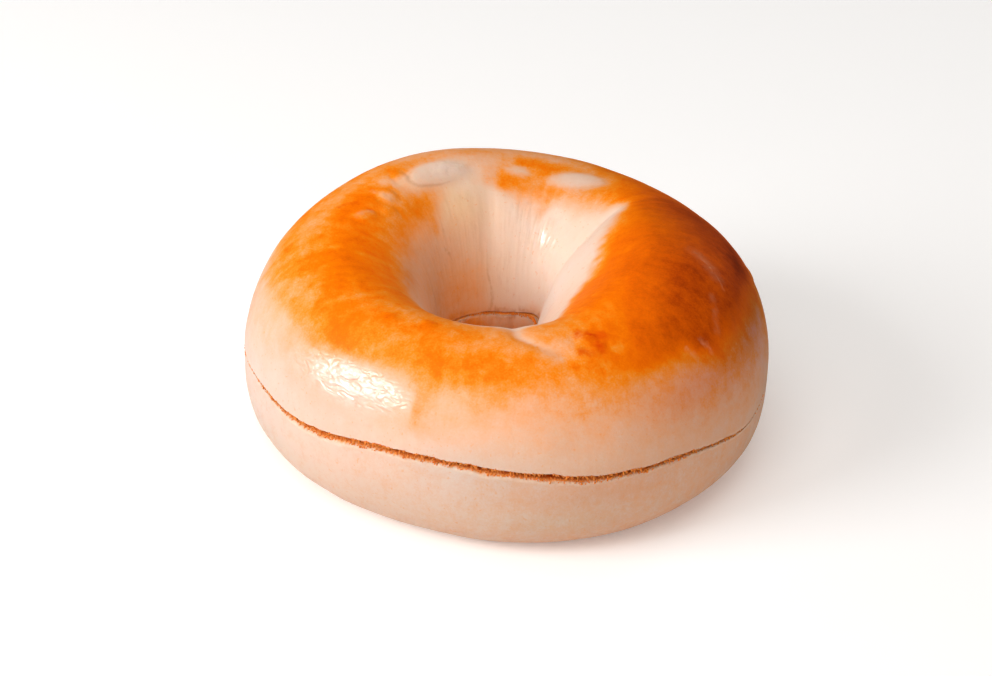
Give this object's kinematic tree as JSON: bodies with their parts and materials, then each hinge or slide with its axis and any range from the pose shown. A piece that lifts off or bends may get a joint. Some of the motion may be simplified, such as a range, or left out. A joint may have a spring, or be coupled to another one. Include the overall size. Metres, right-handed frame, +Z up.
{
  "type": "bagel",
  "caption": "Plain baked bagel, sliced level with its top half lying back on its bottom half: a chewy ring of browned dough with a narrow hole.",
  "frame": {"origin": "on the table under the middle of the ring's outline", "axes": "+Z up through the hole; -Y is the front, where the cut stands open; +X is the side with the browned dome"},
  "size_m": [0.1112, 0.111, 0.0493],
  "materials": {
    "browned_crust": "shiny orange-brown baked crust, pale where it rises least",
    "pale_crust": "soft satin cream baked dough with open crumb at the cut"
  },
  "bodies": {
    "root": {"bagel_top": "browned_crust", "bagel_bottom": "pale_crust"}
  },
  "joints": []
}
